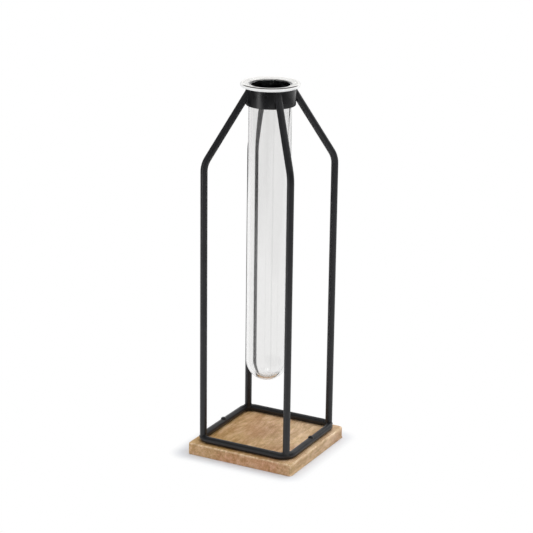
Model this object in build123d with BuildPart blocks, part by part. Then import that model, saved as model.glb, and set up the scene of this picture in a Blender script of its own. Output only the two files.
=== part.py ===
from build123d import *
import math
import os

os.makedirs("parts", exist_ok=True)

# Test tube vase: a glass tube hangs by its lip in a steel collar that four bent posts carry over a wood base.
# Millimetres, +Z up, with the origin at the centre of the base's underside.
# The left corner of the base is at -X -Y and the front corner is at +X -Y.

# Overrun of every cut beyond the face that it starts from
cut_overrun = 1.0

# Wood base
base_side = 100.0
base_thickness = 10.5
base_corner_radius = 2.5
base_top_edge_radius = 1.2
base_bottom_edge_chamfer = 0.5

# Steel rod of the ring and the posts
rod_diameter = 6.0
rod_radius = rod_diameter / 2

# Square ring of rod, with the margin measured from the wood's edge to the rod's centre line
ring_margin = 7.0
ring_bend_radius = 9.5

# Posts, with the slope measured from the vertical
post_slope_angle = 32.5
shoulder_bend_radius = 20.0
post_drop_below_collar_top = 2.0
post_foot_share = 0.5

# Collar of flat strip
collar_outer_diameter = 41.5
collar_wall = 1.2
collar_height = 16.5
collar_bottom_height = 303.5
collar_edge_chamfer = 0.3

# Glass tube, with a flange that rests on the collar and ends in a round bead hanging outside it
tube_clearance = 1.55
tube_wall = 2.2
tube_length = 260.0
lip_rise = 2.1
lip_bead_diameter = 3.4
lip_bead_clearance = 0.85
lip_root_chamfer = 0.5
lip_dish_angle = 10.5
throat_edge_radius = 1.4

# The tube hangs loose and sits to one side of the collar, with this gap left between bead and collar
tube_side_gap = 0.35
tube_lean_direction = 208.0

# Screws that hold the ring on the wood
screw_head_diameter = 4.6
screw_head_height = 1.7
screw_head_edge_height = 0.7
screw_crown_diameter = 3.4
screw_shank_diameter = 2.6
screw_length = 12.0
screw_tip_length = 2.0
screw_seat_depth = 0.8
screw_seat_clearance = 0.2
screw_hole_clearance = 0.2
pilot_clearance = 0.05
pilot_end_clearance = 0.8
recess_width = 0.8
recess_span = 2.6
recess_depth = 0.8

# Heights and places that follow
ring_half = base_side / 2 - ring_margin
ring_height = base_thickness + rod_radius
ring_top_height = base_thickness + rod_diameter
collar_radius = collar_outer_diameter / 2
collar_bore_radius = collar_radius - collar_wall
collar_top_height = collar_bottom_height + collar_height
tube_radius = collar_bore_radius - tube_clearance
tube_bore_radius = tube_radius - tube_wall
lip_bead_radius = lip_bead_diameter / 2
lip_bead_offset = collar_radius + lip_bead_clearance + lip_bead_radius
lip_top_height = collar_top_height + lip_rise
lip_bead_height = lip_top_height - lip_bead_radius
tube_bottom_height = lip_top_height - tube_length
tube_lean = lip_bead_clearance - tube_side_gap
screw_head_radius = screw_head_diameter / 2
screw_crown_radius = screw_crown_diameter / 2
screw_shank_radius = screw_shank_diameter / 2
screw_seat_height = ring_top_height - screw_seat_depth
screw_tip_height = screw_seat_height - screw_length
screw_places = {"screw_left": (-ring_half, 0), "screw_right": (ring_half, 0)}

# A post stands on the middle of a ring bend and meets the collar just below its top
bend_inset = ring_bend_radius * (1 - math.sqrt(0.5))
post_offset = math.hypot(ring_half - bend_inset, ring_half - bend_inset)
slope = math.radians(post_slope_angle)
meeting_height = collar_top_height - post_drop_below_collar_top - rod_radius / math.sin(slope)
shoulder_height = meeting_height - (post_offset - collar_radius) / math.tan(slope)
post_end_height = meeting_height + rod_diameter / math.tan(slope)
post_end_offset = collar_radius - rod_diameter
post_foot_height = ring_height + post_foot_share * rod_radius
post_angles = {"post_left": 225, "post_front": 315, "post_right": 45, "post_back": 135}

# Wood base with eased edges and a blind pilot hole for each screw
with BuildPart() as wood_base:
    with BuildSketch():
        RectangleRounded(base_side, base_side, base_corner_radius)
    extrude(amount=base_thickness)
    fillet(wood_base.faces().sort_by(Axis.Z)[-1].edges(), radius=base_top_edge_radius)
    chamfer(wood_base.faces().sort_by(Axis.Z)[0].edges(), length=base_bottom_edge_chamfer)
    with BuildSketch(Plane.XY.offset(screw_tip_height - pilot_end_clearance)):
        with Locations(*screw_places.values()):
            Circle(screw_shank_radius + pilot_clearance)
    extrude(amount=base_thickness, mode=Mode.SUBTRACT)

# Closed square of bent rod, drilled and seated for the screws
with BuildPart() as base_ring:
    with BuildLine(Plane.XY.offset(ring_height)) as ring_path:
        FilletPolyline(
            (ring_half, -ring_half),
            (ring_half, ring_half),
            (-ring_half, ring_half),
            (-ring_half, -ring_half),
            radius=ring_bend_radius,
            close=True,
        )
    with BuildSketch(Plane(origin=ring_path.line @ 0, z_dir=ring_path.line % 0)):
        Circle(rod_radius)
    sweep(path=ring_path.line)
    with BuildSketch(Plane.XY.offset(base_thickness - cut_overrun)):
        with Locations(*screw_places.values()):
            Circle(screw_shank_radius + screw_hole_clearance)
    extrude(amount=rod_diameter + 2 * cut_overrun, mode=Mode.SUBTRACT)
    with BuildSketch(Plane.XY.offset(screw_seat_height)):
        with Locations(*screw_places.values()):
            Circle(screw_head_radius + screw_seat_clearance)
    extrude(amount=screw_seat_depth + cut_overrun, mode=Mode.SUBTRACT)

# Collar of rolled strip, open at both ends
with BuildPart() as collar:
    with BuildSketch(Plane.XY.offset(collar_bottom_height)):
        Circle(collar_radius)
        Circle(collar_bore_radius, mode=Mode.SUBTRACT)
    extrude(amount=collar_height)
    chamfer(collar.edges(), length=collar_edge_chamfer)

# Four bent posts, coped to the ring at the foot and to the collar at the top
posts = []
for post_name, post_angle in post_angles.items():
    outward = Vector(math.cos(math.radians(post_angle)), math.sin(math.radians(post_angle)), 0)
    post_plane = Plane(origin=(0, 0, 0), x_dir=outward, z_dir=outward.cross(Vector(0, 0, 1)))
    with BuildPart() as post:
        with BuildLine(post_plane) as post_path:
            FilletPolyline(
                (post_offset, post_foot_height),
                (post_offset, shoulder_height),
                (post_end_offset, post_end_height),
                radius=shoulder_bend_radius,
            )
        with BuildSketch(Plane(origin=post_path.line @ 0, z_dir=post_path.line % 0)):
            Circle(rod_radius)
        sweep(path=post_path.line)
        add(base_ring.part, mode=Mode.SUBTRACT)
        with BuildSketch(Plane.XY.offset(shoulder_height)):
            Circle(collar_radius)
        extrude(amount=post_end_height - shoulder_height + rod_diameter, mode=Mode.SUBTRACT)
    post.part.label = post_name
    posts.append(post.part)

# Round-bottomed tube, its flange dished from the bead down to the rounded edge of the throat
lean_angle = math.radians(tube_lean_direction)
tube_centre = (tube_lean * math.cos(lean_angle), tube_lean * math.sin(lean_angle), 0)
bowl_height = tube_bottom_height + tube_radius
bead_start = 180 + math.degrees(math.asin((lip_bead_height - collar_top_height) / lip_bead_radius))
bead_end = 90 + lip_dish_angle
bead_turn = 360 + bead_end - bead_start
throat_offset = tube_bore_radius + throat_edge_radius
dish = math.radians(lip_dish_angle)
dish_drop = (lip_bead_offset - throat_offset) * math.tan(dish)
throat_height = lip_bead_height - dish_drop + (lip_bead_radius - throat_edge_radius) / math.cos(dish)
with BuildPart() as glass_tube:
    with BuildSketch(Plane(origin=tube_centre, x_dir=(1, 0, 0), z_dir=(0, -1, 0))):
        with BuildLine():
            bowl = CenterArc((0, bowl_height), tube_radius, -90, 90)
            bead = CenterArc((lip_bead_offset, lip_bead_height), lip_bead_radius, bead_start, bead_turn)
            Polyline(
                bowl @ 1,
                (tube_radius, collar_top_height - lip_root_chamfer),
                (tube_radius + lip_root_chamfer, collar_top_height),
                bead @ 0,
            )
            throat = CenterArc((throat_offset, throat_height), throat_edge_radius, bead_end, 180 - bead_end)
            Line(bead @ 1, throat @ 0)
            inner_bowl = CenterArc((0, bowl_height), tube_bore_radius, 0, -90)
            Line(throat @ 1, inner_bowl @ 0)
            Line(inner_bowl @ 1, bowl @ 0)
        make_face()
    revolve(axis=Axis(tube_centre, (0, 0, 1)))

# Pan head screws with a sloped crown, a cross recess and a pointed shank
screws = []
for screw_name, (screw_x, screw_y) in screw_places.items():
    screw_axis_foot = (screw_x, screw_y, screw_seat_height)
    with BuildPart() as screw:
        with BuildSketch(Plane(origin=screw_axis_foot, x_dir=(1, 0, 0), z_dir=(0, -1, 0))):
            with BuildLine() as screw_outline:
                Polyline(
                    (0, screw_head_height),
                    (0, -screw_length),
                    (screw_shank_radius, screw_tip_length - screw_length),
                    (screw_shank_radius, 0),
                    (screw_head_radius, 0),
                    (screw_head_radius, screw_head_edge_height),
                    (screw_crown_radius, screw_head_height),
                    close=True,
                )
            make_face()
        revolve(axis=Axis(screw_axis_foot, (0, 0, 1)))
        with BuildSketch(Plane(origin=screw_axis_foot).offset(screw_head_height - recess_depth)):
            Rectangle(recess_span, recess_width)
            Rectangle(recess_width, recess_span)
        extrude(amount=recess_depth + cut_overrun, mode=Mode.SUBTRACT)
    screw.part.label = screw_name
    screws.append(screw.part)

wood_base.part.label = "wood_base"
base_ring.part.label = "base_ring"
collar.part.label = "collar"
glass_tube.part.label = "glass_tube"
for piece in [wood_base.part, base_ring.part, collar.part, glass_tube.part, *posts, *screws]:
    export_step(piece, "parts/" + piece.label + ".step")
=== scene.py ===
# Looks of the test tube vase, in metres, +Z up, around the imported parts
import math

import bmesh
import bpy
from mathutils import Matrix, Vector, noise


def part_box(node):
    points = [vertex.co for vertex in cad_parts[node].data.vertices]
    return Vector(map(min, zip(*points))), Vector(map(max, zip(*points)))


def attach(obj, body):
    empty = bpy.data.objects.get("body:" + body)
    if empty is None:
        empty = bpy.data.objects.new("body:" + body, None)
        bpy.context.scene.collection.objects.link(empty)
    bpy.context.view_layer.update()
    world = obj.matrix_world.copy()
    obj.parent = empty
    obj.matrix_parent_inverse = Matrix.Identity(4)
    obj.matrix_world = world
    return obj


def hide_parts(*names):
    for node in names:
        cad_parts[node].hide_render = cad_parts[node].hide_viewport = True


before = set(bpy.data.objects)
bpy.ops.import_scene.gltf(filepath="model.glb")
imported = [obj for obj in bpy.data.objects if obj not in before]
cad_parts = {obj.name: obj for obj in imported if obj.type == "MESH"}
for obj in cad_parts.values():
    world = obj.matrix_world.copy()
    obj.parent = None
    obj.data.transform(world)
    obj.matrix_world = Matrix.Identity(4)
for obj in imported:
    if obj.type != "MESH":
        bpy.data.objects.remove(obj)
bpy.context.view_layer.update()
MM = 0.001
UP = Vector((0, 0, 1))

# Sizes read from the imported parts
wood_low, wood_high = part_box("wood_base")
ring_low, ring_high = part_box("base_ring")
collar_low, collar_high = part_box("collar")
tube_low, tube_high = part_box("glass_tube")
post_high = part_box("post_right")[1]
rod_radius = (ring_high.z - ring_low.z) / 2
ring_height = (ring_high.z + ring_low.z) / 2
ring_half = ring_high.x - rod_radius
collar_radius = (collar_high.x - collar_low.x) / 2
lip_radius = (tube_high.x - tube_low.x) / 2
tube_axis = Vector(((tube_low.x + tube_high.x) / 2, (tube_low.y + tube_high.y) / 2, 0))
post_reach = math.hypot(post_high.x - rod_radius, post_high.y - rod_radius)

# Sizes that the maker set
ring_bend_radius = 9.5 * MM
shoulder_bend_radius = 20 * MM
post_slope = math.radians(32.5)
post_drop = 2.0 * MM
collar_wall = 1.2 * MM
collar_edge = 0.3 * MM
tube_radius = 18 * MM
tube_wall = 2.2 * MM
lip_bead = 1.7 * MM
lip_root = 0.5 * MM
lip_dish = math.radians(10.5)
throat_round = 1.4 * MM
weld_thickness = 0.55 * MM
wood_corner_radius = 2.5 * MM
wood_top_edge = 1.2 * MM
wood_foot_edge = 0.5 * MM

# Marks of the saw and of wear on the wood, with the depth of skin that a face's paint covers
grain_turn = math.radians(2)
saw_turn = math.radians(3.6)
saw_pitch = 1.7 * MM
saw_depth = 0.06 * MM
wear_reach = 1.8 * MM
wear_depth = 0.28 * MM
knocked_corner_reach = 5 * MM
knocked_corner_depth = 0.7 * MM
face_skin = 0.3 * MM

# Distances from the lip's outer edge to the milky flange's groove and to the ends of the bead's painted
# dark line
groove_inset = 3.1 * MM
crest_line_outer_end = 0.15 * MM
crest_line_inner_end = 1.75 * MM

# A post meets the collar just below its top, and its shoulder follows from the slope
meeting_height = collar_high.z - post_drop - rod_radius / math.sin(post_slope)
shoulder_height = meeting_height - (post_reach - collar_radius) / math.tan(post_slope)
post_angles = {"post_left": 225, "post_front": 315, "post_right": 45, "post_back": 135}


# Materials


class Finish:
    """A material and short ways to add the nodes that paint it."""

    def __init__(self, name, **surface):
        self.material = bpy.data.materials.new(name)
        self.material.use_nodes = True
        self.tree = self.material.node_tree
        self.shader = self.tree.nodes["Principled BSDF"]
        for socket, value in surface.items():
            self.shader.inputs[socket.replace("_", " ")].default_value = value

    def node(self, kind, **settings):
        made = self.tree.nodes.new("ShaderNode" + kind)
        for key, value in settings.items():
            setattr(made, key, value)
        return made

    def plug(self, value, socket):
        """Joins another node's output to a socket, or sets a plain value on it."""
        if isinstance(value, bpy.types.NodeSocket):
            self.tree.links.new(value, socket)
        else:
            socket.default_value = value

    def drive(self, socket, value):
        self.plug(value, self.shader.inputs[socket])

    def place(self, scale=(1, 1, 1), turn=(0, 0, 0), move=(0, 0, 0)):
        """Places on the piece, drawn out, turned or moved."""
        mapping = self.node("Mapping")
        self.plug(self.node("TexCoord").outputs["Object"], mapping.inputs["Vector"])
        mapping.inputs["Scale"].default_value = scale
        mapping.inputs["Rotation"].default_value = turn
        mapping.inputs["Location"].default_value = move
        return mapping.outputs["Vector"]

    def axes(self, where):
        """The X, Y and Z of a place."""
        made = self.node("SeparateXYZ")
        self.plug(where, made.inputs[0])
        return made.outputs

    def vector(self, kind, first, second=(0, 0, 0), result="Vector"):
        made = self.node("VectorMath", operation=kind)
        self.plug(first, made.inputs[0])
        self.plug(second, made.inputs[1])
        return made.outputs[result]

    def length(self, where):
        return self.vector("LENGTH", where, result="Value")

    def along(self, where, side):
        """How far a place lies towards one side."""
        return self.vector("DOT_PRODUCT", where, side, result="Value")

    def cloud(self, where, scale, detail=4.0, roughness=0.5, distortion=0.0):
        made = self.node("TexNoise")
        self.plug(where, made.inputs["Vector"])
        made.inputs["Scale"].default_value = scale
        made.inputs["Detail"].default_value = detail
        made.inputs["Roughness"].default_value = roughness
        made.inputs["Distortion"].default_value = distortion
        return made.outputs["Fac"]

    def bands(self, where, scale, distortion):
        made = self.node("TexWave", bands_direction="X")
        self.plug(where, made.inputs["Vector"])
        made.inputs["Scale"].default_value = scale
        made.inputs["Distortion"].default_value = distortion
        return made.outputs["Fac"]

    def growth_rings(self, where, scale):
        made = self.node("TexWave", wave_type="RINGS", rings_direction="Y", wave_profile="SAW")
        self.plug(where, made.inputs["Vector"])
        made.inputs["Scale"].default_value = scale
        made.inputs["Distortion"].default_value = 2.2
        made.inputs["Detail"].default_value = 3.0
        made.inputs["Detail Scale"].default_value = 0.8
        return made.outputs["Fac"]

    def span(self, value, low, high, new_low=0.0, new_high=1.0, smooth=False):
        """Runs from one value to another as what it follows goes from low to high, and stays there."""
        made = self.node("MapRange")
        made.interpolation_type = "SMOOTHSTEP" if smooth else "LINEAR"
        self.plug(value, made.inputs["Value"])
        made.inputs["From Min"].default_value = low
        made.inputs["From Max"].default_value = high
        made.inputs["To Min"].default_value = new_low
        made.inputs["To Max"].default_value = new_high
        return made.outputs["Result"]

    def work_out(self, kind, first, *others):
        """One result of two or more values, taken from left to right."""
        result = first
        for other in others:
            made = self.node("Math", operation=kind)
            self.plug(result, made.inputs[0])
            self.plug(other, made.inputs[1])
            result = made.outputs["Value"]
        return result

    def times(self, *values):
        return self.work_out("MULTIPLY", *values)

    def plus(self, *values):
        return self.work_out("ADD", *values)

    def minus(self, first, second):
        return self.work_out("SUBTRACT", first, second)

    def larger(self, *values):
        return self.work_out("MAXIMUM", *values)

    def smaller(self, *values):
        return self.work_out("MINIMUM", *values)

    def blend(self, share, first, second):
        made = self.node("Mix", data_type="RGBA")
        self.plug(share, made.inputs["Factor"])
        self.plug(first, made.inputs["A"])
        self.plug(second, made.inputs["B"])
        return made.outputs["Result"]

    def washed(self, colour, *washes):
        """A colour with washes laid over it in turn, each a pair of share and colour."""
        for share, wash in washes:
            colour = self.blend(share, colour, wash)
        return colour

    def relief(self, height, depth, strength=1.0, below=None):
        made = self.node("Bump")
        made.inputs["Strength"].default_value = strength
        made.inputs["Distance"].default_value = depth
        self.plug(height, made.inputs["Height"])
        if below is not None:
            self.plug(below, made.inputs["Normal"])
        return made.outputs["Normal"]

    def glow(self, colour, strength):
        made = self.node("Emission")
        made.inputs["Color"].default_value = colour
        self.plug(strength, made.inputs["Strength"])
        return made

    def show_mixed(self, share, first, second):
        """Shows two shaders mixed, in place of the material's own."""
        made = self.node("MixShader")
        self.plug(share, made.inputs[0])
        self.plug(first.outputs[0], made.inputs[1])
        self.plug(second.outputs[0], made.inputs[2])
        self.plug(made.outputs[0], self.tree.nodes["Material Output"].inputs["Surface"])


def tone(red, green, blue):
    return (red, green, blue, 1.0)


def powder_coat(name, colour, roughness):
    """Satin black powder coat with a fine orange peel and slightly duller patches."""
    coat = Finish(name, Metallic=0.0, IOR=1.5)
    where = coat.place()
    patches = coat.cloud(where, 90, detail=3)
    peel = coat.cloud(where, 1500, detail=2)
    dust = coat.cloud(where, 4200, detail=1)
    darker = tuple(0.75 * part for part in colour)
    coat.drive("Base Color", coat.blend(patches, tone(*darker), tone(*colour)))
    coat.drive("Roughness", coat.span(patches, 0.3, 0.7, roughness - 0.05, roughness + 0.06))
    peel_relief = coat.relief(peel, 0.06 * MM, 0.6)
    coat.drive("Normal", coat.relief(dust, 0.012 * MM, 0.5, below=peel_relief))
    return coat.material


def blackened_screw():
    """Blackened steel, smoother than the coat."""
    black = Finish("blackened_screw", Metallic=0.0, IOR=1.45)
    where = black.place()
    patches = black.cloud(where, 700, detail=3)
    black.drive("Base Color", black.blend(patches, tone(0.008, 0.008, 0.009), tone(0.016, 0.016, 0.018)))
    black.drive("Roughness", black.span(patches, 0.3, 0.7, 0.3, 0.42))
    black.drive("Normal", black.relief(black.cloud(where, 5200, detail=2), 0.01 * MM, 0.5))
    return black.material


def milky_and_painted_light_share(glass, reach, height, facing):
    """How far the glass turns milky white, a painted highlight for the light the rim carries: on the flange
    but for its groove, on the bead, and as a painted sheen at the bowl's edge where it is seen at a grazing
    look.
    """
    raised = glass.span(height, collar_high.z - 0.6 * MM, collar_high.z - 0.1 * MM)
    root = glass.span(reach, tube_radius - 0.4 * MM, tube_radius + 0.8 * MM, 0, 0.7, smooth=True)
    groove = lip_radius - groove_inset
    fade = 0.4 * MM
    inside_groove = glass.span(reach, groove - fade, groove, 1.0, 0.15, smooth=True)
    crest = glass.span(reach, groove, groove + fade, 0.0, 0.85, smooth=True)
    flange = glass.times(root, glass.plus(inside_groove, crest), raised)
    bead = glass.span(reach, groove + 0.3 * MM, groove + 0.9 * MM, smooth=True)
    bowl = glass.span(height, tube_low.z + 7 * MM, tube_low.z + 4 * MM)
    # Painted sheen: milky white at the bowl's edge where it is seen at a grazing look
    bowl_painted_sheen = glass.times(bowl, glass.span(facing, 0.38, 0.64, 0, 0.95, smooth=True))
    cloudy = glass.cloud(glass.place(), 260, detail=2)
    whitened = glass.plus(flange, bead, bowl_painted_sheen)
    return glass.times(whitened, glass.span(cloudy, 0.3, 0.7, 0.78, 0.9))


def bead_painted_shade(glass, reach, height, facing):
    """Painted shade on the bead's top: dark at a grazing look, and a painted dark line along its crest in a
    low view.
    """
    # Painted shade where the bead is seen at a grazing look
    grazing = glass.span(facing, 0.35, 0.95, 0, 0.4, smooth=True)
    least_facing = glass.span(height, tube_high.z - 0.63 * MM, tube_high.z, 0, 0.43)
    seen_low = glass.span(glass.minus(facing, least_facing), -0.03, 0.05)
    outer_end = lip_radius - crest_line_outer_end
    inner_end = lip_radius - crest_line_inner_end
    # Painted dark line along the bead's crest, where the bead is seen low
    crest_line = glass.times(
        glass.span(reach, outer_end, outer_end - 0.25 * MM),
        seen_low,
        glass.span(reach, inner_end, inner_end + 0.15 * MM),
        glass.span(facing, 0.69, 0.5, smooth=True),
    )
    upper = glass.span(height, tube_high.z - 1.7 * MM, tube_high.z - 0.9 * MM)
    return glass.times(glass.larger(grazing, crest_line), upper)


def milky_glass_painted_glow(glass, painted_shade):
    """The milky white, a painted highlight with a painted glow, which the painted shade dims and takes to
    dark brown.
    """
    milky = glass.node("BsdfPrincipled")
    # Painted shade turns the milky white to dark brown
    colour = glass.blend(painted_shade, tone(0.97, 0.965, 0.945), tone(0.03, 0.026, 0.023))
    glass.plug(colour, milky.inputs["Base Color"])
    milky.inputs["Roughness"].default_value = 0.3
    milky.inputs["Specular IOR Level"].default_value = 0.1
    # Painted glow: the milky white gives off light of its own, less where the painted shade lies
    milky.inputs["Emission Color"].default_value = tone(1.0, 0.99, 0.97)
    glass.plug(glass.span(painted_shade, 0, 1, 0.18, 0.0), milky.inputs["Emission Strength"])
    return milky


def clear_glass():
    """Clear glass with a faint grey cast and the slow waves of a drawn tube, and a milky white flange that
    is a painted highlight, with a painted glow and painted shade.
    """
    grey_cast = tone(0.905, 0.903, 0.9)
    glass = Finish("drawn_glass", Roughness=0.0, IOR=1.5, Transmission_Weight=1.0, Base_Color=grey_cast)
    waves = glass.cloud(glass.place(scale=(1, 1, 0.12)), 60, detail=1)
    glass.drive("Normal", glass.relief(waves, 0.05 * MM, 0.3))
    reach = glass.length(glass.place(scale=(1, 1, 0), move=(-tube_axis.x, -tube_axis.y, 0)))
    height = glass.axes(glass.place())["Z"]
    facing = glass.node("LayerWeight").outputs["Facing"]
    milky = milky_glass_painted_glow(glass, bead_painted_shade(glass, reach, height, facing))
    # The milky white painted highlight, with its painted glow and painted shade, is mixed into the clear
    # glass
    glass.show_mixed(milky_and_painted_light_share(glass, reach, height, facing), glass.shader, milky)
    return glass.material


def along_grain(wood, share, move=(0, 0, 0)):
    """Places on the wood, with patterns drawn out along its grain."""
    return wood.place(scale=(1, share, 1), turn=(0, 0, grain_turn), move=move)


def rightward(wood):
    """How far a place lies towards the right of the photograph."""
    return wood.along(wood.place(), (0.8, 0.6, 0))


def paler_right_golden_left(wood, colour, pale_cloud, blush, sawn_face):
    """Paler towards the right of the photograph, and golden brown on the left of the sawn face."""
    paler_to_right = wood.times(
        wood.span(rightward(wood), -45 * MM, 50 * MM, 0.05, 0.62),
        wood.span(pale_cloud, 0.3, 0.6, 0.55, 1.0),
        wood.span(sawn_face, 0, 1, 0.75, 1.0),
    )
    golden = wood.times(
        wood.span(rightward(wood), 10 * MM, -40 * MM, 0, 0.7),
        wood.span(blush, 0.35, 0.6, 0.5, 1.0),
        sawn_face,
    )
    return wood.washed(
        colour,
        (paler_to_right, tone(0.82, 0.66, 0.49)),
        (golden, tone(0.41, 0.24, 0.095)),
    )


def saw_marks(wood, sawn_face):
    """Dark lines that the saw left across the sawn face, in patches and more to the right."""
    lines = wood.bands(wood.place(turn=(0, 0, saw_turn)), 185, distortion=1.6)
    patches = wood.cloud(wood.place(move=(0.02, 0.03, 0)), 30, detail=2)
    return wood.times(
        wood.span(patches, 0.42, 0.58, 0.1, 1.0),
        sawn_face,
        wood.span(rightward(wood), -25 * MM, 10 * MM, 0.12, 1.0, smooth=True),
        wood.span(lines, 0.35, 0.9),
    )


def end_grained(wood, colour, blush):
    """Speckled end grain on the face at -Y, flushed reddish in places."""
    speckle = wood.cloud(wood.place(), 1500, detail=2, roughness=0.7)
    speckled = wood.blend(wood.span(speckle, 0.42, 0.62), tone(0.68, 0.45, 0.28), tone(0.4, 0.23, 0.13))
    skin = wood_low.y + face_skin
    end_face = wood.span(wood.axes(wood.place())["Y"], skin + 0.2 * MM, skin)
    flushed = wood.times(end_face, wood.span(blush, 0.44, 0.62, 0.0, 0.34))
    return wood.washed(
        colour,
        (wood.times(end_face, 0.5), speckled),
        (flushed, tone(0.63, 0.31, 0.175)),
    )


def pale_edges_wear_and_highlight(wood):
    """Paler stretches where two faces of the wood meet above its foot, partly wear and partly a painted
    highlight.
    """
    start = 1.7 * MM
    axes = wood.axes(wood.place())
    sides = []
    for axis in ("X", "Y"):
        away = wood.work_out("ABSOLUTE", axes[axis], 0.0)
        sides.append(wood.span(away, wood_high.x - start, wood_high.x - 0.6 * MM))
    top = wood.span(axes["Z"], wood_high.z - start, wood_high.z - 0.5 * MM)
    rim = wood.times(wood.larger(*sides), top)
    upright_corner = wood.times(*sides)
    stretches = wood.span(wood.cloud(wood.place(), 240, detail=4), 0.3, 0.54)
    return wood.times(wood.larger(rim, upright_corner), stretches)


def mottled(wood, colour, unevenness):
    """The colour made darker and stronger in some places, and lighter and weaker in others."""
    made = wood.node("HueSaturation")
    wood.plug(wood.span(unevenness, 0.55, 0.95, 0.74, 1.34), made.inputs["Value"])
    wood.plug(wood.span(unevenness, 0.55, 0.95, 1.24, 0.92), made.inputs["Saturation"])
    wood.plug(colour, made.inputs["Color"])
    return made.outputs["Color"]


def sawn_wood():
    """Tan wood with its grain along Y, reddish blotches, saw marks on the top and paler edges, partly wear
    and partly a painted highlight.
    """
    wood = Finish("sawn_wood", Metallic=0.0, IOR=1.4)
    growth = wood.growth_rings(along_grain(wood, 0.06, move=(0.041, 0, 0.085)), 46)
    figure = wood.cloud(along_grain(wood, 0.16), 130, detail=5, roughness=0.6, distortion=1.4)
    streaks = wood.cloud(along_grain(wood, 0.05), 620, detail=3, roughness=0.65)
    pores = wood.cloud(along_grain(wood, 0.06), 2300, detail=2)
    flecks = wood.cloud(along_grain(wood, 0.4), 330, detail=3, roughness=0.7)
    blush = wood.cloud(wood.place(scale=(1, 0.55, 1), move=(0.013, 0.02, 0)), 36, detail=3)
    pale_cloud = wood.cloud(wood.place(scale=(1, 0.4, 1), move=(0.07, 0.05, 0)), 26, detail=2)
    top_skin = wood_high.z - face_skin
    sawn_face = wood.span(wood.axes(wood.place())["Z"], top_skin - face_skin, top_skin)
    marks = saw_marks(wood, sawn_face)

    deep_tan = tone(0.56, 0.335, 0.155)
    pale_tan = tone(0.76, 0.51, 0.265)
    colour = wood.washed(
        wood.blend(wood.span(figure, 0.36, 0.64), deep_tan, pale_tan),
        (wood.span(growth, 0.55, 1.0, 0, 0.38), tone(0.47, 0.265, 0.115)),
        (wood.span(blush, 0.46, 0.66, 0, 0.75), tone(0.53, 0.245, 0.125)),
        (wood.span(pale_cloud, 0.5, 0.72, 0, 0.5), tone(0.88, 0.60, 0.27)),
        (wood.span(streaks, 0.48, 0.72, 0, 0.4), tone(0.33, 0.185, 0.09)),
        (wood.span(pores, 0.6, 0.74, 0, 0.5), tone(0.22, 0.12, 0.06)),
        (wood.span(flecks, 0.5, 0.72, 0, 0.5), tone(0.36, 0.19, 0.085)),
        (wood.span(flecks, 0.5, 0.3, 0, 0.4), tone(0.86, 0.62, 0.37)),
    )
    colour = paler_right_golden_left(wood, colour, pale_cloud, blush, sawn_face)
    colour = wood.blend(wood.times(marks, 0.6), colour, tone(0.36, 0.205, 0.1))
    colour = end_grained(wood, colour, blush)
    # Paler edges, partly wear and partly a painted highlight
    colour = wood.blend(wood.times(pale_edges_wear_and_highlight(wood), 0.85), colour, tone(0.83, 0.64, 0.43))
    unevenness = wood.plus(flecks, wood.times(figure, 0.5))
    wood.drive("Base Color", mottled(wood, colour, unevenness))
    wood.drive("Roughness", wood.span(streaks, 0.3, 0.7, 0.55, 0.7))

    grain_relief = wood.relief(streaks, 0.12 * MM, 0.7)
    pore_relief = wood.relief(pores, 0.1 * MM, 0.6, below=grain_relief)
    wood.drive("Normal", wood.relief(marks, 0.08 * MM, 0.8, below=pore_relief))
    return wood.material


# Ways to make a piece


def finish_piece(name, mesh, material, body, nodes=(), crease=40):
    """Makes a finished mesh a piece that rides a body, smooth up to a crease angle in degrees."""
    data = bpy.data.meshes.new(name)
    mesh.to_mesh(data)
    mesh.free()
    data.materials.append(material)
    data.polygons.foreach_set("use_smooth", [True] * len(data.polygons))
    data.set_sharp_from_angle(angle=math.radians(crease))
    piece = bpy.data.objects.new(name, data)
    bpy.context.scene.collection.objects.link(piece)
    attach(piece, body)
    if nodes:
        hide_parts(*nodes)
    return piece


def clean(mesh, gap=0.002 * MM):
    """Merges doubled corners and turns the faces outwards."""
    bmesh.ops.remove_doubles(mesh, verts=mesh.verts, dist=gap)
    bmesh.ops.recalc_face_normals(mesh, faces=mesh.faces)


def round_edges(mesh, edges, size, segments):
    bmesh.ops.bevel(
        mesh, geom=edges, offset=size, segments=segments, profile=0.5, affect="EDGES", material=-1
    )


def edges_among(parts):
    return [part for part in parts if isinstance(part, bmesh.types.BMEdge)]


def edges_between(verts):
    """The edges that join the corners of an outline, each once and in a steady order."""
    return list(dict.fromkeys(edge for vert in verts for edge in vert.link_edges))


def whole(mesh):
    """Every corner, edge and face of a mesh."""
    return mesh.verts[:] + mesh.edges[:] + mesh.faces[:]


def rod_end(mesh, centre, heading):
    """The open round end that a rod starts from."""
    turn = heading.to_track_quat("Z", "Y").to_matrix().to_4x4()
    ring = bmesh.ops.create_circle(
        mesh, segments=32, radius=rod_radius, matrix=Matrix.Translation(centre) @ turn
    )
    return edges_between(ring["verts"])


def rod_run(mesh, end, heading, length):
    """A straight run of rod from an open end."""
    made = bmesh.ops.extrude_edge_only(mesh, edges=end)["geom"]
    moved = [part for part in made if isinstance(part, bmesh.types.BMVert)]
    bmesh.ops.translate(mesh, verts=moved, vec=heading * length)
    return edges_among(made)


def rod_bend(mesh, end, centre, axis, angle, steps):
    """A bend of rod from an open end, about an axis through its bend centre."""
    made = bmesh.ops.spin(mesh, geom=end, cent=centre, axis=axis, angle=angle, steps=steps)
    return edges_among(made["geom_last"])


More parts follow.
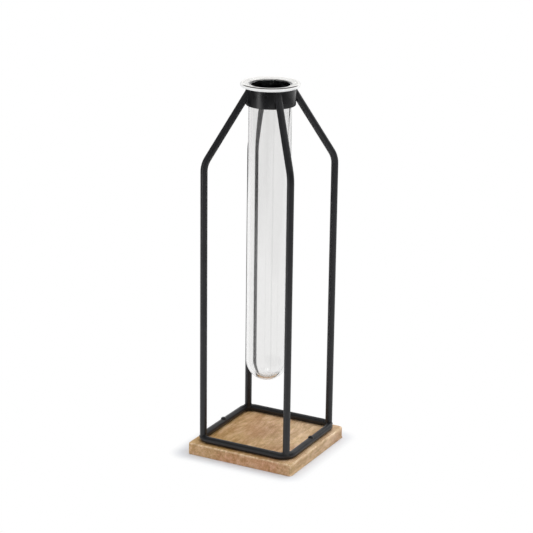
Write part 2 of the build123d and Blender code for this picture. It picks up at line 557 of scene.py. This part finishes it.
def lathe(mesh, outline, centre, steps):
    """Turns an outline of (radius, height) points about the upright axis through the centre."""
    verts = [mesh.verts.new((centre.x + radius, centre.y, height)) for radius, height in outline]
    edges = [mesh.edges.new(pair) for pair in zip(verts, verts[1:])]
    bmesh.ops.spin(
        mesh, geom=verts + edges, cent=centre, axis=UP, angle=math.tau, steps=steps, use_merge=True
    )
    clean(mesh)


def arc(centre, radius, start, sweep, steps):
    """Points of an arc of an outline, from a start angle over a sweep, both in degrees."""
    angles = [math.radians(start + sweep * step / steps) for step in range(steps + 1)]
    return [(centre[0] + radius * math.cos(a), centre[1] + radius * math.sin(a)) for a in angles]


def outward_at(angle):
    """Level heading from the vase's middle towards a post, from the post's angle in degrees."""
    return Vector((math.cos(math.radians(angle)), math.sin(math.radians(angle)), 0))


def up_the_slope(outward):
    """Heading of a post's sloped end, towards the collar."""
    return UP * math.cos(post_slope) - outward * math.sin(post_slope)


# Glass tube and collar


def make_glass_tube(material):
    """Round-bottomed tube whose dished flange ends in a round bead that hangs outside the collar."""
    bore = tube_radius - tube_wall
    bowl_height = tube_low.z + tube_radius
    lean = math.degrees(lip_dish)
    bead = (lip_radius - lip_bead, tube_high.z - lip_bead)
    bead_start = 180 + math.degrees(math.asin((bead[1] - collar_high.z) / lip_bead))
    bead_end = 360 + 90 + lean
    throat_reach = bore + throat_round
    fall = (bead[0] - throat_reach) * math.tan(lip_dish)
    throat = (throat_reach, bead[1] - fall + (lip_bead - throat_round) / math.cos(lip_dish))
    outline = arc((0, bowl_height), tube_radius, -90, 90, steps=28)
    outline += arc((tube_radius + lip_root, collar_high.z - lip_root), lip_root, 180, -90, steps=6)
    outline += arc(bead, lip_bead, bead_start, bead_end - bead_start, steps=30)
    outline += arc(throat, throat_round, 90 + lean, 90 - lean, steps=14)
    outline += arc((0, bowl_height), bore, 0, -90, steps=28)
    mesh = bmesh.new()
    lathe(mesh, outline, tube_axis, steps=160)
    return finish_piece("glass_tube_drawn", mesh, material, "tube", ["glass_tube"], 60)


def make_collar(material):
    """Rolled strip with eased edges, a hair clear of the flange that rests on it."""
    hair = 0.03 * MM
    bore = collar_radius - collar_wall
    top = collar_high.z - hair
    outline = [
        (collar_radius, collar_low.z),
        (collar_radius, top),
        (bore, top),
        (bore, collar_low.z),
        (collar_radius, collar_low.z),
    ]
    mesh = bmesh.new()
    lathe(mesh, outline, Vector((0, 0, 0)), steps=128)
    rims = [edge for edge in mesh.edges if edge.is_manifold and edge.calc_face_angle() > 1]
    round_edges(mesh, rims, collar_edge, segments=4)
    return finish_piece("collar_rolled", mesh, material, "stand", ["collar"])


# Ring, posts and welds


def make_ring(material):
    """Closed square of bent rod."""
    mesh = bmesh.new()
    straight = 2 * (ring_half - ring_bend_radius)
    heading = Vector((0, 1, 0))
    place = Vector((ring_half, -straight / 2, ring_height))
    end = rod_end(mesh, place, heading)
    for _ in range(4):
        end = rod_run(mesh, end, heading, straight)
        inward = UP.cross(heading)
        bend_centre = place + heading * straight + inward * ring_bend_radius
        end = rod_bend(mesh, end, bend_centre, UP, math.radians(90), steps=14)
        place = bend_centre + heading * ring_bend_radius
        heading = inward
    clean(mesh)
    return finish_piece("ring_rod", mesh, material, "stand", ["base_ring"])


def make_post(name, outward, material):
    """Bent post, from inside the ring's rod to inside the collar's wall."""
    side = outward.cross(UP)
    tangent = shoulder_bend_radius * math.tan(post_slope / 2)
    foot = outward * post_reach + UP * ring_height
    mesh = bmesh.new()
    end = rod_end(mesh, foot, UP)
    bmesh.ops.edgeloop_fill(mesh, edges=end)
    run = shoulder_height - tangent - ring_height
    end = rod_run(mesh, end, UP, run)
    bend_centre = foot + UP * run - outward * shoulder_bend_radius
    end = rod_bend(mesh, end, bend_centre, side, post_slope, steps=12)
    rod_run(mesh, end, up_the_slope(outward), (post_reach - collar_radius) / math.sin(post_slope))
    inside_wall = outward * (collar_radius - collar_wall / 3)
    bmesh.ops.bisect_plane(
        mesh, geom=whole(mesh), plane_co=inside_wall, plane_no=-outward, clear_outer=True
    )
    bmesh.ops.holes_fill(mesh, edges=mesh.edges)
    clean(mesh)
    return finish_piece(name + "_bent", mesh, material, "stand", [name])


def make_weld(name, place, heading, joint, material):
    """Thin bead of weld round a rod, slid along the rod until it lies on the joint."""
    unevenness = 0.25 * MM
    turn = heading.to_track_quat("Z", "Y").to_matrix()
    upright = Matrix.Translation((rod_radius, 0, 0)) @ Matrix.Rotation(math.radians(90), 4, "X")
    mesh = bmesh.new()
    section = bmesh.ops.create_circle(mesh, segments=10, radius=weld_thickness, matrix=upright)
    outline = section["verts"] + edges_between(section["verts"])
    bmesh.ops.spin(
        mesh, geom=outline, cent=(0, 0, 0), axis=UP, angle=math.tau, steps=56, use_merge=True
    )
    clean(mesh, 0.02 * MM)
    for vert in mesh.verts:
        around = Vector((vert.co.x, vert.co.y, 0)).normalized() * rod_radius
        swelling = unevenness * noise.noise(vert.co / MM * 0.8 + place / MM)
        grown = vert.co + (vert.co - around) / weld_thickness * swelling
        vert.co = place + turn @ grown + heading * joint(turn @ around)
    bmesh.ops.recalc_face_normals(mesh, faces=mesh.faces)
    return finish_piece(name, mesh, material, "stand", crease=60)


def make_post_welds(name, outward, material):
    """Welds that hold a post's foot on the ring and its end on the collar."""
    foot = outward * post_reach + UP * ring_height
    bend_centre = outward * (post_reach - ring_bend_radius) + UP * ring_height
    sloped = up_the_slope(outward)
    meeting = outward * collar_radius + UP * meeting_height

    def above_ring(around):
        """Height of the ring's round top over its middle, at a point round the foot."""
        least = 0.4 * rod_radius
        off_line = (foot + around - bend_centre).length - ring_bend_radius
        return math.sqrt(max(rod_radius ** 2 - off_line ** 2, least ** 2))

    def before_collar(around):
        """Way along the slope from the meeting point to the collar, at a point round the end."""
        flat = Vector((around.x, around.y, 0)) + outward * collar_radius
        step = Vector((sloped.x, sloped.y, 0))
        half = flat.dot(step) / step.dot(step)
        rest = (flat.dot(flat) - collar_radius ** 2) / step.dot(step)
        return -half - math.sqrt(max(half * half - rest, 0))

    make_weld(name + "_foot_weld", foot, UP, above_ring, material)
    make_weld(name + "_end_weld", meeting, sloped, before_collar, material)


# Wood base


def sawn_depth(point):
    """How far the top of the wood is cut down by the saw's ridges at a point."""
    drift_size = 14 * MM
    patch_size = 22 * MM
    patch_shift = 30 * MM
    across = point.x * math.cos(saw_turn) - point.y * math.sin(saw_turn)
    drift = 0.35 * noise.noise(Vector((point.x, point.y, 0)) / drift_size)
    ridge = 0.5 + 0.5 * math.sin(math.tau * (across / saw_pitch + drift))
    patch = 0.5 + noise.noise(Vector((point.x + patch_shift, point.y, 0)) / patch_size)
    return saw_depth * ridge * min(max(patch, 0.1), 1.0)


def worn_depth(point):
    """How far wear and unevenness take the wood back at a point, most at its edges and far right corner."""
    broad_size = 16 * MM
    fine_size = 3 * MM
    bite_size = 5 * MM
    broad = 0.5 + 0.5 * noise.noise(point / broad_size)
    fine = 0.5 + 0.5 * noise.noise(point / fine_size)
    depth = 0.07 * MM * broad + 0.04 * MM * fine
    near_side = max(abs(point.x), abs(point.y)) - (wood_high.x - wear_reach)
    near_top = point.z - (wood_high.z - wear_reach)
    if near_side > 0 and near_top > 0:
        bite = max(0.0, 0.35 + noise.noise(point / bite_size))
        depth += wear_depth * bite * min(near_side, near_top) / wear_reach
    far_right = (Vector((point.x, point.y, 0)) - Vector((wood_high.x, wood_high.y, 0))).length
    if far_right < knocked_corner_reach:
        depth += knocked_corner_depth * (1 - far_right / knocked_corner_reach) ** 1.5
    return depth


def cut_across(mesh, heading, stations):
    """Cuts the mesh into slices, so that it can follow unevenness."""
    for station in stations:
        bmesh.ops.bisect_plane(
            mesh, geom=whole(mesh), plane_co=heading * station, plane_no=heading
        )


def even_steps(reach, cell):
    """Even stations from one side to the other, a little over a cell apart."""
    count = math.floor(2 * reach / cell)
    return [-reach + 2 * reach * step / count for step in range(count + 1)]


def make_wood_base(material):
    """Sawn block with rounded corners and eased edges, uneven and worn at its rim."""
    coarse_cell = 2.4 * MM
    saw_cell = 0.45 * MM
    foot_zone = 0.6 * MM
    side_cuts = [height * MM for height in (2, 3.5, 5, 6.5, 8)]
    size = wood_high - wood_low
    middle = (wood_high + wood_low) / 2
    mesh = bmesh.new()
    bmesh.ops.create_cube(mesh, size=1, matrix=Matrix.Translation(middle) @ Matrix.Diagonal((*size, 1)))
    corners = [edge for edge in mesh.edges if abs(edge.verts[0].co.z - edge.verts[1].co.z) > MM]
    round_edges(mesh, corners, wood_corner_radius, segments=7)
    for height, edge_size, segments in ((wood_high.z, wood_top_edge, 5), (wood_low.z, wood_foot_edge, 3)):
        rim = [edge for edge in mesh.edges if edge.calc_face_angle() > 1
               and all(abs(vert.co.z - height) < 0.01 * MM for vert in edge.verts)]
        round_edges(mesh, rim, edge_size, segments)
    reach = size.x / 2 - wood_corner_radius - 0.2 * MM
    cut_across(mesh, Vector((1, 0, 0)), even_steps(reach, saw_cell))
    cut_across(mesh, Vector((0, 1, 0)), even_steps(reach, coarse_cell))
    cut_across(mesh, UP, side_cuts)
    mesh.normal_update()
    inward = {vert: -vert.normal.copy() for vert in mesh.verts}
    for vert, heading in inward.items():
        if vert.co.z < foot_zone:
            continue
        depth = worn_depth(vert.co)
        if heading.z < -0.9:
            depth += sawn_depth(vert.co)
        vert.co += heading * depth
    mesh.normal_update()
    return finish_piece("wood_base_sawn", mesh, material, "stand", ["wood_base"], 50)


# Floor, light and camera

# Levels where 1 is white: the dim room, the plain light from all round, the floor's glow and its strip
room_level = 0.12
fill_level = 0.5
floor_glow = 0.05
strip_level = 3.2

# Headings in the studio
to_camera = (0.469, -0.883, 0)
front_left = (-0.29, -0.957, 0)
back_right = (0.1, 0.995, 0)
strip_side = (-0.874, 0.485, 0)

# Where each part of the studio fades in, as distances in metres from the vase along its heading
table_end = (0.7, 0.95)
back_end = (1.25, 1.0)
front_end = (0.5, 0.64)
strip_left_edge = (0.2, 0.12)
strip_right_edge = (-0.2, -0.12)
strip_near_end = (0.55, 0.7)

# Where the dim room fades in round the sky: its height, all but straight behind, and the front
over_table = (-0.02, 0.1)
beside_and_before = (-0.78, -0.58)
front_wall = (0.4, 0.6)


def seen_rays(finish):
    """One for rays that show the surroundings: from the camera, off gloss and through glass."""
    path = finish.node("LightPath").outputs
    return finish.larger(path["Is Camera Ray"], path["Is Glossy Ray"], path["Is Transmission Ray"])


def mirrored_rays(finish):
    """One for rays that a surface has thrown back at least once."""
    return finish.smaller(finish.node("LightPath").outputs["Glossy Depth"], 1.0)


def off_satin(finish):
    """One for rays that a satin surface has thrown back."""
    path = finish.node("LightPath").outputs
    return finish.minus(path["Is Glossy Ray"], path["Is Singular Ray"])


def outside_glass(finish):
    """One for rays that have not been through glass."""
    through = finish.smaller(finish.node("LightPath").outputs["Transmission Depth"], 1.0)
    return finish.minus(1.0, through)


def not_in_glass(finish):
    """One for rays that have not been through glass, or that satin steel behind it has thrown back."""
    return finish.larger(outside_glass(finish), off_satin(finish))


def towards(finish, side, where, near, far):
    """Rises from 0 to 1 as a place or a heading lies further to one side of the vase."""
    return finish.span(finish.along(where, side), near, far, smooth=True)


def away_from_wood(pale):
    """Rises from 0 to 1 over the short way from the wood in which the floor keeps its shadow."""
    shadow_shift = 2.5 * MM
    near = wood_corner_radius + 2 * MM
    far = wood_corner_radius + 16 * MM
    half_side = wood_high.x - wood_corner_radius
    quarter = pale.vector("ABSOLUTE", pale.place(move=(shadow_shift, 0, 0)))
    beyond = pale.vector("SUBTRACT", quarter, (half_side, half_side, 0))
    clear_of_wood = pale.vector("MAXIMUM", beyond)
    return pale.span(pale.length(clear_of_wood), near, far, smooth=True)


def dim_floor(pale):
    """Where mirrored rays meet a dim floor: past the table behind the vase, and in front of it."""
    where = pale.place()
    off_table = pale.span(pale.length(where), *table_end, smooth=True)
    past_table = pale.times(off_table, towards(pale, back_right, where, *back_end), not_in_glass(pale))
    past_front = towards(pale, front_left, where, *front_end)
    return pale.times(pale.larger(past_table, past_front), mirrored_rays(pale))


def bright_strip(pale):
    """A strip of the floor, out to the front left, that only rays off satin steel meet."""
    where = pale.place()
    return pale.times(
        towards(pale, strip_side, where, *strip_left_edge),
        towards(pale, strip_side, where, *strip_right_edge),
        towards(pale, front_left, where, *strip_near_end),
        off_satin(pale),
        outside_glass(pale),
    )


def floor_paint():
    """Pale near the wood, with the vase's shadow, and white further out."""
    pale = Finish(
        "pale_floor", Roughness=0.9, Base_Color=tone(0.80, 0.825, 0.87), Specular_IOR_Level=0.0
    )
    seen = seen_rays(pale)
    near_glow = pale.glow(tone(0.97, 0.985, 1.0), pale.times(seen, floor_glow))
    near_floor = pale.node("AddShader")
    pale.plug(pale.shader.outputs[0], near_floor.inputs[0])
    pale.plug(near_glow.outputs[0], near_floor.inputs[1])
    plain_white = pale.span(dim_floor(pale), 0, 1, 1.0, room_level)
    white = pale.glow(tone(1, 1, 1), pale.plus(plain_white, pale.times(bright_strip(pale), strip_level)))
    pale.show_mixed(pale.times(away_from_wood(pale), seen), near_floor, white)
    return pale.material


def make_floor():
    """Round floor under the vase, far wider than any view of it."""
    floor_reach = 12.0
    mesh = bmesh.new()
    bmesh.ops.create_circle(mesh, cap_ends=True, segments=96, radius=floor_reach)
    data = bpy.data.meshes.new("floor")
    mesh.to_mesh(data)
    mesh.free()
    data.materials.append(floor_paint())
    floor = bpy.data.objects.new("floor", data)
    bpy.context.scene.collection.objects.link(floor)


class Sky(Finish):
    """The world, painted with the same short ways."""

    def __init__(self):
        world = bpy.data.worlds.new("white_surround")
        world.use_nodes = True
        bpy.context.scene.world = world
        self.tree = world.node_tree
        self.shader = self.tree.nodes["Background"]


def make_surround():
    """White all round where it is seen, with a dim room over the table that only mirrored rays meet."""
    sky = Sky()
    sky.shader.inputs["Color"].default_value = tone(1, 1, 1)
    heading = sky.node("TexCoord").outputs["Generated"]
    above_table = sky.span(sky.axes(heading)["Z"], *over_table, smooth=True)
    all_but_behind = towards(sky, to_camera, heading, *beside_and_before)
    off_steel = sky.times(above_table, not_in_glass(sky), all_but_behind)
    in_front = towards(sky, front_left, heading, *front_wall)
    dimmed = sky.times(sky.larger(off_steel, in_front), mirrored_rays(sky))
    white = sky.span(dimmed, 0, 1, 1.0, room_level)
    seen = seen_rays(sky)
    unseen = sky.minus(1.0, seen)
    sky.drive("Strength", sky.plus(sky.times(seen, white), sky.times(unseen, fill_level)))


def make_soft_box(name, place, aim_height, width, height, level):
    """Lamp of an even level, where 1 is the white of the surround, kept out of what glass shows."""
    light = bpy.data.lights.new(name, "AREA")
    light.shape = "RECTANGLE"
    light.size = width
    light.size_y = height
    light.energy = level * math.pi * width * height
    lamp = bpy.data.objects.new(name, light)
    bpy.context.scene.collection.objects.link(lamp)
    lamp.visible_transmission = False
    lamp.location = place
    lamp.rotation_mode = "QUATERNION"
    lamp.rotation_quaternion = (UP * aim_height - Vector(place)).to_track_quat("-Z", "Y")


def make_camera():
    """The photograph's view: a long lens, a little above the vase and to the right of its left face."""
    azimuth = math.radians(27.953)
    elevation = math.radians(17.562)
    roll = math.radians(0.732)
    distance = 1628.2 * MM
    aim_right = -1.904 * MM
    aim_height = 163.34 * MM
    back = Vector((
        math.sin(azimuth) * math.cos(elevation),
        -math.cos(azimuth) * math.cos(elevation),
        math.sin(elevation),
    ))
    right = Vector((math.cos(azimuth), math.sin(azimuth), 0))
    above = back.cross(right)
    turned_right = right * math.cos(roll) + above * math.sin(roll)
    turned_above = above * math.cos(roll) - right * math.sin(roll)
    lens = bpy.data.cameras.new("camera")
    lens.sensor_width = 36
    lens.lens = 130.04
    lens.clip_start = 0.05
    lens.clip_end = 60
    camera = bpy.data.objects.new("camera", lens)
    bpy.context.scene.collection.objects.link(camera)
    place = right * aim_right + UP * aim_height + back * distance
    turn = Matrix((turned_right, turned_above, back)).transposed()
    camera.matrix_world = Matrix.Translation(place) @ turn.to_4x4()
    bpy.context.scene.camera = camera


scene = bpy.context.scene
scene.view_settings.view_transform = "Standard"
make_camera()
make_floor()
make_surround()
make_soft_box("top_box", (0.1, 0.1, 1.35), aim_height=0.15, width=1.1, height=1.1, level=2.2)
make_soft_box("right_box", (0.56, 0.90, 0.9), aim_height=0.15, width=0.8, height=0.9, level=1.4)
make_soft_box("left_box", (-0.63, -1.14, 0.43), aim_height=0.2, width=0.7, height=0.46, level=1.4)

rod_coat = powder_coat("powder_coat", colour=(0.011, 0.011, 0.0135), roughness=0.44)
collar_coat = powder_coat("collar_coat", colour=(0.005, 0.005, 0.0065), roughness=0.28)
make_wood_base(sawn_wood())
make_ring(rod_coat)
for post_name, post_angle in post_angles.items():
    make_post(post_name, outward_at(post_angle), rod_coat)
    make_post_welds(post_name, outward_at(post_angle), rod_coat)
make_collar(collar_coat)
make_glass_tube(clear_glass())
screw_black = blackened_screw()
for screw_name in ("screw_left", "screw_right"):
    screw_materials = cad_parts[screw_name].data.materials
    screw_materials.clear()
    screw_materials.append(screw_black)
